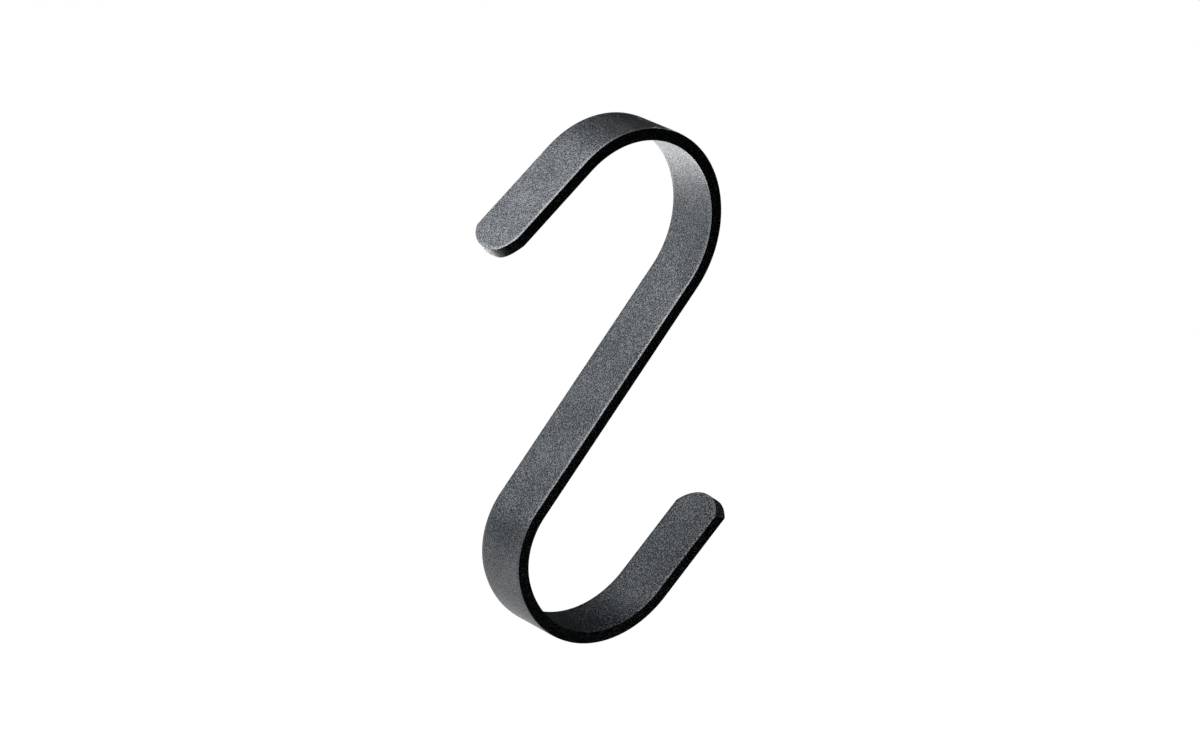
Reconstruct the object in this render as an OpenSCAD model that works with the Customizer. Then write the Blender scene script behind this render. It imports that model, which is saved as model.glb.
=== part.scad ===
// S hook bent from one length of flat steel strip, with a powder coat all over.
// It is drawn as it hangs when loaded: the middles of its two bends lie one above the other.
// The origin is the middle of the upper bend, halfway across the strip. Y runs along the
// rail, Z up, and X to the side on which the lower hook opens.

/* [Strip] */
// Width of the bare strip
strip_w = 10; // [6:0.5:16]
// Thickness of the bare strip
strip_t = 2; // [1.2:0.1:3]
// Thickness of the powder coat on each face
coat_t = 0.1; // [0.04:0.02:0.2]
// Rounding of the coated long edges
edge_r = 0.25; // [0.1:0.05:0.5]
// Half of the angle that each tip's rounded end spans
tip_angle = 60; // [40:1:85]

/* [Stem] */
// Length of the straight stem between the two hooks
stem_l = 45.6; // [20:0.1:90]

/* [Upper hook] */
// Inner radius of the upper bend
upper_r = 15.7; // [10:0.1:30]
// Angle that the strip turns through in the upper bend
upper_angle = 169.5; // [150:0.5:180]
// Length from the upper bend's end to the upper tip
upper_arm = 20.6; // [12:0.1:40]

/* [Lower hook] */
// Inner radius of the tight bend next to the stem
neck_r = 11.8; // [8:0.1:20]
// Angle that the strip turns through in the tight bend
neck_angle = 58; // [30:0.5:75]
// Inner radius of the wide bend that carries the load
lower_r = 16.7; // [10:0.1:30]
// Angle that the strip turns through in the wide bend
lower_angle = 116.5; // [100:0.5:120]
// Length from the wide bend's end to the lower tip
lower_arm = 19.1; // [12:0.1:40]

/* [Hidden] */

powder_black = "#2b2d30";
// Smoothness of the bends and tips, and of the small rounded edges
$fn = 120;
edge_fn = 24;

// Neighbouring lengths of strip run this far into each other, to join as one solid
lap = 0.04;
// A bend is this much fuller all round than the length that it laps over
fuller = 0.001;

// Finished strip, with its coat
full_w = strip_w + 2 * coat_t;
full_t = strip_t + 2 * coat_t;

// Each tip is an arc about a point on the strip's middle line
tip_r = full_w / 2 / sin(tip_angle);

// Radii of the bends at the middle of the strip's thickness
upper_mid_r = upper_r + full_t / 2;
neck_mid_r = neck_r + full_t / 2;
lower_mid_r = lower_r + full_t / 2;

// Middle of the upper bend as seen from the stem's middle, with the stem along Y
upper_mid = [-upper_mid_r, stem_l / 2];
// Middle of the lower hook's wide bend, seen the same way
lower_mid = [
    neck_mid_r - (neck_mid_r - lower_mid_r) * cos(neck_angle),
    -stem_l / 2 - (neck_mid_r - lower_mid_r) * sin(neck_angle)
];

// Lean that brings the middle of one bend over the middle of the other
lean = atan2(upper_mid.x - lower_mid.x, upper_mid.y - lower_mid.y);

// The strip's cross-section, with its thickness along X and its width along Y
module strip_section(extra = 0) {
    square([full_t - 2 * edge_r, full_w + 2 * extra], center = true);
    square([full_t + 2 * extra, full_w - 2 * edge_r], center = true);
    for (x = [-1, 1], y = [-1, 1])
        translate([x * (full_t / 2 - edge_r), y * (full_w / 2 - edge_r)])
            circle(edge_r + extra, $fn = edge_fn);
}

// A straight length of strip that runs along Y
module straight(length) {
    translate([0, -lap, 0])
        rotate([-90, 0, 0])
            linear_extrude(length + 2 * lap)
                strip_section();
}

// A bend that starts along Y and turns to the left, with its middle on the left.
// One that follows another bend laps over it.
module bend(mid_r, angle, follows_bend = false) {
    lap_angle = follows_bend ? lap / mid_r * 180 / PI : 0;
    translate([-mid_r, 0, 0])
        rotate_extrude(start = -lap_angle, angle = angle + lap_angle)
            translate([mid_r, 0])
                strip_section(follows_bend ? 2 * fuller : fuller);
}

// Places its children at the end of such a bend
module after_bend(mid_r, angle) {
    translate([-mid_r, 0, 0])
        rotate(angle)
            translate([mid_r, 0, 0])
                children();
}

// A round plate of the strip's thickness with a rounded rim, lying across X
module tip_plate() {
    rotate([0, 90, 0])
        rotate_extrude() {
            translate([0, -full_t / 2])
                square([tip_r - edge_r, full_t]);
            translate([0, edge_r - full_t / 2])
                square([tip_r, full_t - 2 * edge_r]);
            for (y = [-1, 1])
                translate([tip_r - edge_r, y * (full_t / 2 - edge_r)])
                    circle(edge_r, $fn = edge_fn);
        }
}

// A straight arm that ends in a rounded tip
module arm(length) {
    straight(length - tip_r);
    translate([0, length - tip_r, 0])
        intersection() {
            straight(2 * tip_r);
            tip_plate();
        }
}

// Everything above the stem's middle
module upper_hook() {
    straight(stem_l / 2);
    translate([0, stem_l / 2, 0]) {
        bend(upper_mid_r, upper_angle);
        after_bend(upper_mid_r, upper_angle)
            arm(upper_arm);
    }
}

// Everything below the stem's middle, drawn upside down
module lower_hook() {
    straight(stem_l / 2);
    translate([0, stem_l / 2, 0]) {
        bend(neck_mid_r, neck_angle);
        after_bend(neck_mid_r, neck_angle) {
            bend(lower_mid_r, lower_angle, follows_bend = true);
            after_bend(lower_mid_r, lower_angle)
                arm(lower_arm);
        }
    }
}

// The whole bent strip, stood up and leaned as it hangs
module s_hook() {
    color(powder_black)
        rotate([90, 0, 0])
            rotate(lean)
                translate([-upper_mid.x, -upper_mid.y, 0]) {
                    upper_hook();
                    rotate(180)
                        lower_hook();
                }
}

s_hook();
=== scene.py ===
import math

import bpy
from mathutils import Matrix, Vector, noise


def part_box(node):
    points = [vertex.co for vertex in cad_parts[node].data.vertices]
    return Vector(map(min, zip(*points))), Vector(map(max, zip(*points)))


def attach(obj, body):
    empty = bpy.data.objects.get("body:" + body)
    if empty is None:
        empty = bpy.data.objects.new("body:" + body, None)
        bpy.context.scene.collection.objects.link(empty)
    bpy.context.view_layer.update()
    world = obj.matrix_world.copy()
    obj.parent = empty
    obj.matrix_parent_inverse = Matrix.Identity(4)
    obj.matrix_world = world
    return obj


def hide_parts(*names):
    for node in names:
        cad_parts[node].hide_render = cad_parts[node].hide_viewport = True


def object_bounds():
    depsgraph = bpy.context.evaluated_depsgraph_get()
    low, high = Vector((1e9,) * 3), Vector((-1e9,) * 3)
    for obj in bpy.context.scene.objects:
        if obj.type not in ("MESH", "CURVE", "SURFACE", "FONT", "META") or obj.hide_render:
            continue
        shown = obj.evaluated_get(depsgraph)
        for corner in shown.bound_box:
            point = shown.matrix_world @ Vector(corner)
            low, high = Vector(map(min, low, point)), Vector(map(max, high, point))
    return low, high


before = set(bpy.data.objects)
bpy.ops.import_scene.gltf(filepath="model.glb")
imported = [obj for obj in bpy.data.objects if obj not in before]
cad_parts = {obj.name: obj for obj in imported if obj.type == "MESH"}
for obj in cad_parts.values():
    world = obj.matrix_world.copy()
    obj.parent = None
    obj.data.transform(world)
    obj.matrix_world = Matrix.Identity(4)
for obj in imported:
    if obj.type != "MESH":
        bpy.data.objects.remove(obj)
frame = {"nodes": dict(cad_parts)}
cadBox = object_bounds()
mm = 0.001
print("frame loaded:", ", ".join(frame["nodes"]))


class Wire:
    # one output socket, so that shader maths reads as plain expressions
    def __init__(self, shader, socket):
        self.shader = shader
        self.socket = socket

    def calc(self, operation, first, second):
        return self.shader.add("Math", {"operation": operation}, {0: first, 1: second})

    def __add__(self, other):
        return self.calc("ADD", self, other)

    def __radd__(self, other):
        return self.calc("ADD", other, self)

    def __sub__(self, other):
        return self.calc("SUBTRACT", self, other)

    def __rsub__(self, other):
        return self.calc("SUBTRACT", other, self)

    def __mul__(self, other):
        return self.calc("MULTIPLY", self, other)

    def __rmul__(self, other):
        return self.calc("MULTIPLY", other, self)


class Shader:
    # the node tree of one material or world
    def __init__(self, owner):
        owner.use_nodes = True
        self.tree = owner.node_tree
        self.tree.nodes.clear()

    def add(self, kind, settings=None, inputs=None, out=0):
        node = self.tree.nodes.new("ShaderNode" + kind)
        for name, value in (settings or {}).items():
            if name == "stops":
                self.setStops(node.color_ramp.elements, value)
            else:
                setattr(node, name, value)
        for name, value in (inputs or {}).items():
            if isinstance(value, Wire):
                self.tree.links.new(value.socket, node.inputs[name])
            else:
                node.inputs[name].default_value = value
        return Wire(self, node.outputs[out]) if node.outputs else node

    def again(self, wire, out):  # another output of a node that is already there
        return Wire(self, wire.socket.node.outputs[out])

    def setStops(self, elements, stops):
        while len(elements) < len(stops):
            elements.new(1)
        for element, (place, level) in zip(elements, stops):
            element.position = place
            element.color = (level, level, level, 1)

    def ramp(self, value, *stops):  # grey level by value, stops are (place, level)
        return self.add("ValToRGB", {"stops": stops}, {"Fac": value})

    def mixColour(self, factor, first, second):  # 6 and 7 are the Mix node's colour sockets
        return self.add("Mix", {"data_type": "RGBA"}, {0: factor, 6: first, 7: second}, out=2)


def grey(level, tint=0.0):  # a positive tint leans to blue
    return (level * (1 - tint), level, level * (1 + tint), 1)


view = {
    "aim": (-0.744, 0, -26.077),   # millimetres, where the middle of the picture falls
    "distance": 753.8,             # from there to the camera
    "azimuth": 39.68,              # of the way it looks, from +Y towards +X
    "elevation": 18.21,            # how far it looks down
    "roll": 5.17,
    "lens": 137.11,
    "sensor": 36,
    "clip": (0.01, 100),           # metres
}


def placeCamera():
    across = math.radians(view["azimuth"])
    down = math.radians(view["elevation"])
    flat = math.cos(down)
    ahead = Vector((math.sin(across) * flat, math.cos(across) * flat, -math.sin(down)))
    data = bpy.data.cameras.new("camera")
    data.lens = view["lens"]
    data.sensor_width = view["sensor"]
    data.clip_start, data.clip_end = view["clip"]
    camera = bpy.data.objects.new("camera", data)
    bpy.context.scene.collection.objects.link(camera)
    turn = Matrix.Rotation(-math.radians(view["roll"]), 4, ahead)
    camera.matrix_world = (
        Matrix.Translation((Vector(view["aim"]) - ahead * view["distance"]) * mm)
        @ turn
        @ ahead.to_track_quat("-Z", "Y").to_matrix().to_4x4()
    )
    bpy.context.scene.camera = camera


placeCamera()
print("camera placed")


strip = {                           # millimetres and degrees
    "thickness": 2.2,               # with the coat
    "rounding": 0.14,               # of every edge
    "stem": 45.6,                   # straight between the upper bend and the neck bend
    "upperInner": 15.7,             # inner radius of the upper bend
    "upperAngle": 169.5,
    "upperArm": 20.6,
    "neckInner": 11.8,              # inner radius of the tight bend below the stem
    "neckAngle": 58,
    "lowerInner": 16.7,             # inner radius of the wide bend
    "lowerAngle": 116.5,
    "lowerArm": 19.1,
    "tipAngle": 60,                 # of the arc from a tip's middle to its far corner
    "upperShoulder": (3.8, 4),      # a tip's near corner lies this far back, and the outline
    "lowerShoulder": (2.65, 2.4),   # falls to it by this power of the distance from the middle
    "lowerCut": 0.18,               # the lower tip ends this much short
    "slant": (0.2, 0.6),            # and its cut leans by this in the middle and at the corners
    "faceSize": 0.26,               # side of one mesh face
    "roundingSteps": 5,             # faces round each edge
    "tipBlend": 9.0,                # over this the rows of faces take the shape of a tip
    "edgeCrowding": 0.33,           # how much closer the columns of faces stand at the edges
}

relief = {                          # millimetres
    "wave": (0.006, 7.0),           # depth and size
    "peel": (0.005, 1.3),
    "grain": (0.008, 0.55),
    "shear": 0.030,                 # depth of the streaks on the sheared tips
    "shearSize": (0.45, 10, 4),     # of a streak across the strip, along it and through it
    "crown": (0.085, 0.65),         # the broad faces fall away by this, this close to an edge
    "skin": 0.012,                  # least depth of any point, which keeps the piece in its box
    "wearAndHighlightBand": 0.75,                 # width of the band along the edges where the coat is thin and a highlight is painted
    "lessWearAndHighlight": 0.3,              # share of this on the far edge and from the neck bend down
    "wearAndHighlightFade": 9.0,              # length over which it falls to that share
}


def walk(steps, distance, heading):
    # place and heading after going along left-hand bends and straights, which have radius 0
    place = Vector((0, 0))
    for length, radius in steps:
        part = min(distance, length)
        if radius:
            place += Vector((-math.cos(heading), -math.sin(heading))) * radius
            heading += part / radius
            place += Vector((math.cos(heading), math.sin(heading))) * radius
        else:
            place += Vector((-math.sin(heading), math.cos(heading))) * part
        distance -= part
        if distance <= 0:
            break
    return place, heading


def bendMiddle(steps, radius, heading):  # middle of the bend that follows these steps
    place, heading = walk(steps, sum(length for length, bend in steps), heading)
    return place + Vector((-math.cos(heading), -math.sin(heading))) * radius


class Centreline:
    # the line along the middle of the strip, measured from the stem's middle, up is positive
    def __init__(self):
        half = strip["thickness"] / 2
        stem = (strip["stem"] / 2, 0)
        upperRadius = strip["upperInner"] + half
        neckRadius = strip["neckInner"] + half
        lowerRadius = strip["lowerInner"] + half
        upperBend = (math.radians(strip["upperAngle"]) * upperRadius, upperRadius)
        neckBend = (math.radians(strip["neckAngle"]) * neckRadius, neckRadius)
        lowerBend = (math.radians(strip["lowerAngle"]) * lowerRadius, lowerRadius)
        self.upper = [stem, upperBend, (strip["upperArm"], 0)]
        self.lower = [stem, neckBend, lowerBend, (strip["lowerArm"], 0)]
        self.top = sum(length for length, radius in self.upper)
        self.bottom = -sum(length for length, radius in self.lower)
        self.upperMiddle = bendMiddle([stem], upperRadius, 0)
        rise = self.upperMiddle - bendMiddle([stem, neckBend], lowerRadius, math.pi)
        self.lean = math.atan2(rise.x, rise.y)   # brings one bend's middle over the other's

    def at(self, along):
        # place and face normal in the XZ plane; the normal is on the left of the way up
        if along >= 0:
            place, heading = walk(self.upper, along, 0)
            side = 1
        else:
            place, heading = walk(self.lower, -along, math.pi)
            side = -1
        normal = Vector((-math.cos(heading), -math.sin(heading))) * side
        lean = Matrix.Rotation(self.lean, 2)
        return lean @ (place - self.upperMiddle), lean @ normal


def uneven(place, size):  # smooth noise, about 0 to 1
    return 0.5 + 0.5 * noise.noise(place / size)


def coatDepth(spot):
    # how far the waves, the orange peel and the grain lie below the smooth surface
    depth = relief["skin"]
    for name in ("wave", "peel", "grain"):
        amount, size = relief[name]
        depth += amount * uneven(spot, size)
    return depth


def crownDepth(inside):
    amount, reach = relief["crown"]
    return amount * max(0, 1 - inside / reach) ** 2


def shearDepth(along, across, height):
    acrossSize, alongSize, throughSize = relief["shearSize"]
    streak = Vector((across / acrossSize, along / alongSize, height / throughSize))
    return relief["shear"] * uneven(streak, 1)


class Strip:
    # the flat blank with rounded edges, bent along the centreline
    def __init__(self, line, width):
        self.line = line
        self.halfWidth = width / 2
        self.half = strip["thickness"] / 2
        self.tipRadius = self.halfWidth / math.sin(math.radians(strip["tipAngle"]))
        self.top = line.top
        self.bottom = line.bottom + strip["lowerCut"]
        self.rows = round((line.top - line.bottom) / strip["faceSize"])
        self.columns = round(width / strip["faceSize"])
        self.points = []
        self.edge = []
        self.cut = []
        self.faces = []

    def setback(self, upper, across, inset):
        # how far the outline lies behind the middle of a tip
        if across < 0:
            corner, power = strip["upperShoulder"] if upper else strip["lowerShoulder"]
            share = -across / (self.halfWidth - inset)
            return inset + (corner - inset) * share ** power
        return self.tipRadius - math.sqrt((self.tipRadius - inset) ** 2 - across ** 2)

    def tipNormal(self, upper, across, inset):
        # which way a tip's outline faces on the blank: along and across
        step = 0.01
        before = self.setback(upper, across - step, inset)
        after = self.setback(upper, across + step, inset)
        return Vector((1 if upper else -1, (after - before) / (2 * step))).normalized()

    def flatPlace(self, row, column, inset):
        # where a grid point of the inset outline lies on the blank: along and across
        share = 2 * column / self.columns - 1
        share += strip["edgeCrowding"] * (share - share ** 3)
        across = share * (self.halfWidth - inset)
        corner = self.setback(False, self.halfWidth - inset, inset)  # the same on both tips
        high = self.top - corner
        low = self.bottom + corner
        along = low + (high - low) * row / self.rows
        nearHigh = max(0, 1 - (high - along) / strip["tipBlend"]) ** 2
        nearLow = max(0, 1 - (along - low) / strip["tipBlend"]) ** 2
        along += nearHigh * (corner - self.setback(True, across, inset))
        along -= nearLow * (corner - self.setback(False, across, inset))
        return along, across

    def fromOutline(self, along, across):
        # how far a place on the blank is inside its outline
        belowTop = self.top - self.setback(True, across, 0) - along
        aboveBottom = along - self.bottom - self.setback(False, across, 0)
        fromTop = belowTop * self.tipNormal(True, across, 0).x
        fromBottom = aboveBottom * -self.tipNormal(False, across, 0).x
        return min(self.halfWidth - abs(across), fromTop, fromBottom)

    def leaning(self, along, across):
        # the slanted cut of the lower tip, which fades out over half of the tip's blend
        share = (self.bottom + strip["tipBlend"] - along) / (strip["tipBlend"] / 2)
        middle, corners = strip["slant"]
        slant = middle + (corners - middle) * (across / self.halfWidth) ** 2
        return slant * min(1, max(0, share))

    def wearAndHighlightBand(self, along, across, inside):
        # how thin the coat is, and how much highlight is painted on; most along the near edge,
        # from the neck bend up
        low = relief["lessWearAndHighlight"]
        fade = relief["wearAndHighlightFade"]
        climb = (along + strip["stem"] / 2 + fade) / fade
        nearSide = 0.5 - 0.5 * across / self.halfWidth
        share = low + (1 - low) * min(1, max(0, climb)) * nearSide
        return share * max(0, 1 - inside / relief["wearAndHighlightBand"])

    def sideways(self, row, across, inset, normal):
        # which way the narrow face looks; on the long edges this is straight across
        if row not in (0, self.rows):
            return Vector((0, math.copysign(1, across), 0))
        flat = self.tipNormal(row > 0, across, inset)
        tangent = Vector((normal.y, 0, -normal.x))
        return tangent * flat.x + Vector((0, flat.y, 0))

    def addPoint(self, row, column, inset, height, outward=0):
        # outward: how far the surface faces sideways, 0 on the broad faces, 1 on the narrow ones
        along, across = self.flatPlace(row, column, inset)
        inside = max(0, self.fromOutline(along, across))
        place, normal = self.line.at(along - self.leaning(along, across) * height / self.half)
        up = Vector((normal.x, 0, normal.y))
        spot = Vector((place.x, across, place.y)) + up * height
        rise = math.copysign(math.sqrt(max(0, 1 - outward ** 2)), height)
        facing = up * rise + self.sideways(row, across, inset, normal) * outward
        depth = coatDepth(spot) + crownDepth(inside) * (1 - outward)
        sheared = outward > 0 and row in (0, self.rows)
        if sheared:
            depth += shearDepth(along, across, height) * outward
        self.points.append((spot - facing * depth) * mm)
        # thin coat and a painted highlight along the edges, fading out round onto the narrow faces
        self.edge.append(self.wearAndHighlightBand(along, across, inside) * (1 - outward) ** 2)
        self.cut.append(int(sheared))
        return len(self.points) - 1

    def addBroadFace(self, height):
        # the part inside the rounding; returns its grid of points by [row][column]
        inset = strip["rounding"]
        grid = []
        for row in range(self.rows + 1):
            grid.append([
                self.addPoint(row, column, inset, height)
                for column in range(self.columns + 1)
            ])
        for row in range(self.rows):
            for column in range(self.columns):
                corners = (grid[row][column], grid[row][column + 1],
                           grid[row + 1][column + 1], grid[row + 1][column])
                self.faces.append(corners if height < 0 else corners[::-1])
        return grid

    def border(self):
        # grid places once round the outline
        up = [(row, self.columns) for row in range(self.rows)]
        over = [(self.rows, column) for column in range(self.columns, 0, -1)]
        down = [(row, 0) for row in range(self.rows, 0, -1)]
        back = [(0, column) for column in range(self.columns)]
        return up + over + down + back

    def sectionLevels(self):
        # inset, height and outward facing of each ring, from one broad face round to the other
        radius = strip["rounding"]
        steps = strip["roundingSteps"]
        flat = self.half - radius
        sideSteps = round(2 * flat / strip["faceSize"])
        levels = []
        for step in range(1, steps + 1):
            angle = math.pi / 2 * step / steps
            outward = math.sin(angle)
            levels.append((radius * (1 - outward), flat + radius * math.cos(angle), outward))
        for step in range(1, sideSteps):
            levels.append((0, flat - 2 * flat * step / sideSteps, 1))
        for inset, height, outward in levels[steps - 1::-1]:
            levels.append((inset, -height, outward))
        return levels

    def build(self):
        # two broad faces, and rings of points that join them round the outline
        upper = self.addBroadFace(self.half)
        lower = self.addBroadFace(-self.half)
        border = self.border()
        rings = [[upper[row][column] for row, column in border]]
        for inset, height, outward in self.sectionLevels():
            rings.append([
                self.addPoint(row, column, inset, height, outward)
                for row, column in border
            ])
        rings.append([lower[row][column] for row, column in border])
        for above, below in zip(rings, rings[1:]):
            for here in range(len(border)):
                after = (here + 1) % len(border)
                self.faces.append((above[here], above[after], below[after], below[here]))

    def toObject(self, name):
        mesh = bpy.data.meshes.new(name)
        mesh.from_pydata(self.points, [], self.faces)
        mesh.validate()
        for label, values in (("edge", self.edge), ("cut", self.cut)):
            mesh.attributes.new(label, "FLOAT", "POINT").data.foreach_set("value", values)
        mesh.polygons.foreach_set("use_smooth", [True] * len(mesh.polygons))
        mesh.update()
        piece = bpy.data.objects.new(name, mesh)
        bpy.context.scene.collection.objects.link(piece)
        return piece


coat = {
    "dark": 0.0005,                 # colour levels of the pits and the raised specks, whose lighter colour is partly grain and partly a painted glint
    "light": 0.012,
    "speckRange": (0.46, 0.56),     # heights between which a pit turns into a speck
    "tint": 0.14,                   # towards blue
    "sheen": (0.74, 0.87, 1.0),     # colour of what it reflects
    "edgeWearAndHighlight": 0.06,              # colour level where the coat is thin, along the edges, which is partly a painted highlight
    "cutThin": 0.45,                # how thin it is on the sheared tips
    "wearAndHighlightRange": (0.15, 0.6),       # how thin it is, with the painted highlight, where the change starts, and where it is full
    "wearAndHighlightBreak": 0.8,               # how much the grain breaks up that change
    "ior": 1.72,
    "polish": (0.58, 0.34, 2.0),    # weight, roughness and IOR of the rubbed edges' gloss
    "specks": 0.60,                 # weight of the same gloss on the raised specks
    "roughness": (0.28, 0.34),      # of the smoother and the rougher patches
    "grain": 0.25,                  # millimetres across one speck
    "fineGrain": 0.19,              # and across a finer one
    "fineShare": 0.4,               # share of the finer ones in the height
    "patches": 7,                   # millimetres across a lighter or darker area
    "patchDetail": 3,
    "patchShare": 0.2,              # how much of a speck's shade comes from its patch
    "bumpDepth": 0.24,              # millimetres
}


def powderCoat():
    material = bpy.data.materials.new("textured_black_powder_coat")
    shader = Shader(material)
    place = shader.add("TexCoord", out="Object")

    def speckle(size, detail=0):
        return shader.add("TexNoise", {"noise_dimensions": "3D"},
                          {"Vector": place, "Scale": 1 / (size * mm), "Detail": detail})

    grain = speckle(coat["grain"])
    fine = speckle(coat["fineGrain"])
    patches = speckle(coat["patches"], coat["patchDetail"])
    height = grain + (fine - grain) * coat["fineShare"]
    bump = shader.add("Bump", inputs={
        "Strength": 1, "Distance": coat["bumpDepth"] * mm, "Height": height})
    pit, speck = coat["speckRange"]
    patchShare = coat["patchShare"]
    shade = shader.ramp(height * (1 - patchShare) + patches * patchShare, (pit, 0), (speck, 1))
    dark = grey(coat["dark"], coat["tint"])
    light = grey(coat["light"], coat["tint"])
    # the raised specks are lighter partly by the grain's own colour and partly as a painted glint
    colour = shader.mixColour(shade, dark, light)
    edge = shader.add("Attribute", {"attribute_name": "edge"}, out="Fac")
    cut = shader.add("Attribute", {"attribute_name": "cut"}, out="Fac")
    wearAndHighlightLevel = edge + cut * coat["cutThin"] + (height - 0.5) * coat["wearAndHighlightBreak"]
    start, full = coat["wearAndHighlightRange"]
    wearAndHighlightMask = shader.ramp(wearAndHighlightLevel, (start, 0), (full, 1))
    # lighter along the edges and on the sheared tips: thin coat, and along the near edge also a
    # painted highlight
    colour = shader.mixColour(wearAndHighlightMask, colour, grey(coat["edgeWearAndHighlight"], coat["tint"]))
    low, high = coat["roughness"]
    rough = low + (high - low) * patches
    polish, polishRough, polishIor = coat["polish"]
    surface = shader.add("BsdfPrincipled", inputs={
        "Base Color": colour, "Roughness": rough, "Normal": bump,
        "IOR": coat["ior"], "Specular Tint": (*coat["sheen"], 1),
        "Coat Weight": wearAndHighlightMask * polish + shade * coat["specks"],
        "Coat Roughness": polishRough, "Coat IOR": polishIor})
    shader.add("OutputMaterial", inputs={"Surface": surface})
    return material


line = Centreline()
low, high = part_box("s_hook")
bentStrip = Strip(line, (high.y - low.y) / mm)
bentStrip.build()
hook = bentStrip.toObject("bent_strip_hook")
hook.data.materials.append(powderCoat())
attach(hook, "root")
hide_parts("s_hook")
print("hook:", len(bentStrip.faces), "faces")


studio = {                          # metres
    "floorDrop": 0.22,              # below the hook
    "floorFront": -0.03,            # where its front edge lies
    "floorRight": 0.6,              # and its right edge
    "floorSize": 6,
    "floorColour": 0.85,
    "floorRoughness": 0.8,
    "nearGlow": 0.40,               # what a camera or a glossy ray sees of it, over its lit colour
    "farGlow": 1.0,
    "nearTo": 0.09,                 # from below the hook to where the near glow ends
    "farFrom": 0.45,                # and to where the far glow starts
    "back": 0.04,                   # world level behind and left
    "front": 0.01,                  # world level on the camera's side and right
    "backRange": (0.42, 0.72),      # where it changes, with 0 in front and 1 behind
    "leftRange": (0.35, 0.75),      # and with 0 on the left and 1 on the right
}

# where each lamp stands and what it points at, its size, its level and its spread in degrees
lamps = {
    "key": ((-0.038, 0.082, 0.090), (0, 0, -0.01), 0.09, 2.15, 180),
    "rim": ((-0.101, 0.044, 0.092), (0, 0, -0.01), 0.07, 7.6, 180),
    "left": ((-0.070, 0.095, 0.025), (0, 0, -0.01), 0.08, 1.0, 180),
    "low": ((-0.101, 0.111, -0.010), (0, 0, -0.01), 0.08, 1.0, 180),
    "fill": ((0.024, 0.066, -0.054), (0.014, 0, 0.005), 0.055, 0.48, 80),
    "top": ((0.018, 0.044, 0.051), (-0.005, 0, 0.015), 0.032, 0.35, 180),
    "right": ((0.065, 0.011, 0.037), (0.015, 0, 0), 0.025, 3.2, 80),
}


def makeWorld():
    # white to the camera, and a dim room to everything else
    world = bpy.data.worlds.new("studio")
    bpy.context.scene.world = world
    shader = Shader(world)
    way = shader.add("TexCoord", out="Generated")
    across = shader.add("SeparateXYZ", inputs={"Vector": way}, out="X")
    behind = shader.again(across, "Y")
    rays = shader.add("LightPath", out="Is Camera Ray")
    frontEnd, backStart = studio["backRange"]
    leftEnd, rightStart = studio["leftRange"]
    far = shader.ramp(behind * 0.5 + 0.5, (frontEnd, 0), (backStart, 1))
    left = shader.ramp(across * 0.5 + 0.5, (leftEnd, 1), (rightStart, 0))
    room = shader.mixColour(far * left, grey(studio["front"]), grey(studio["back"]))
    light = shader.add("Background", inputs={
        "Color": shader.mixColour(rays, room, grey(1)), "Strength": 1})
    shader.add("OutputWorld", inputs={"Surface": light})


def softLight(name, place, aim, size, radiance, spread):
    # radiance is the level a mirror would show
    data = bpy.data.lights.new(name, "AREA")
    data.shape = "SQUARE"
    data.size = size
    data.energy = radiance * math.pi * size ** 2
    data.spread = math.radians(spread)
    lamp = bpy.data.objects.new(name, data)
    bpy.context.scene.collection.objects.link(lamp)
    lamp.location = place
    lamp.rotation_mode = "QUATERNION"
    lamp.rotation_quaternion = (Vector(aim) - Vector(place)).to_track_quat("-Z", "Y")
    lamp.visible_camera = False


def makeFloor():
    # it glows for the camera and in reflections, and throws no light of its own
    mesh = bpy.data.meshes.new("floor")
    half = studio["floorSize"] / 2
    front = studio["floorFront"]
    right = studio["floorRight"]
    corners = [(-half, front, 0), (right, front, 0), (right, half, 0), (-half, half, 0)]
    mesh.from_pydata(corners, [], [(0, 1, 2, 3)])
    floor = bpy.data.objects.new("floor", mesh)
    bpy.context.scene.collection.objects.link(floor)
    floor.location.z = cadBox[0].z - studio["floorDrop"]
    material = bpy.data.materials.new("pale_floor")
    shader = Shader(material)
    rays = shader.add("LightPath", out="Is Camera Ray")
    glossy = shader.again(rays, "Is Glossy Ray")
    through = shader.again(rays, "Is Transmission Ray")
    place = shader.add("TexCoord", out="Object")
    distance = shader.add("VectorMath", {"operation": "LENGTH"}, {0: place}, out="Value")
    level = shader.ramp(distance, (studio["nearTo"], studio["nearGlow"]),
                        (studio["farFrom"], studio["farGlow"]))
    glow = shader.mixColour(rays + glossy + through, grey(0), level)
    surface = shader.add("BsdfPrincipled", inputs={
        "Base Color": grey(studio["floorColour"]), "Roughness": studio["floorRoughness"],
        "Emission Color": glow, "Emission Strength": 1})
    shader.add("OutputMaterial", inputs={"Surface": surface})
    mesh.materials.append(material)


makeWorld()
makeFloor()
for name, setting in lamps.items():
    softLight(name, *setting)

bpy.context.scene.view_settings.view_transform = "Standard"
print("studio lit")
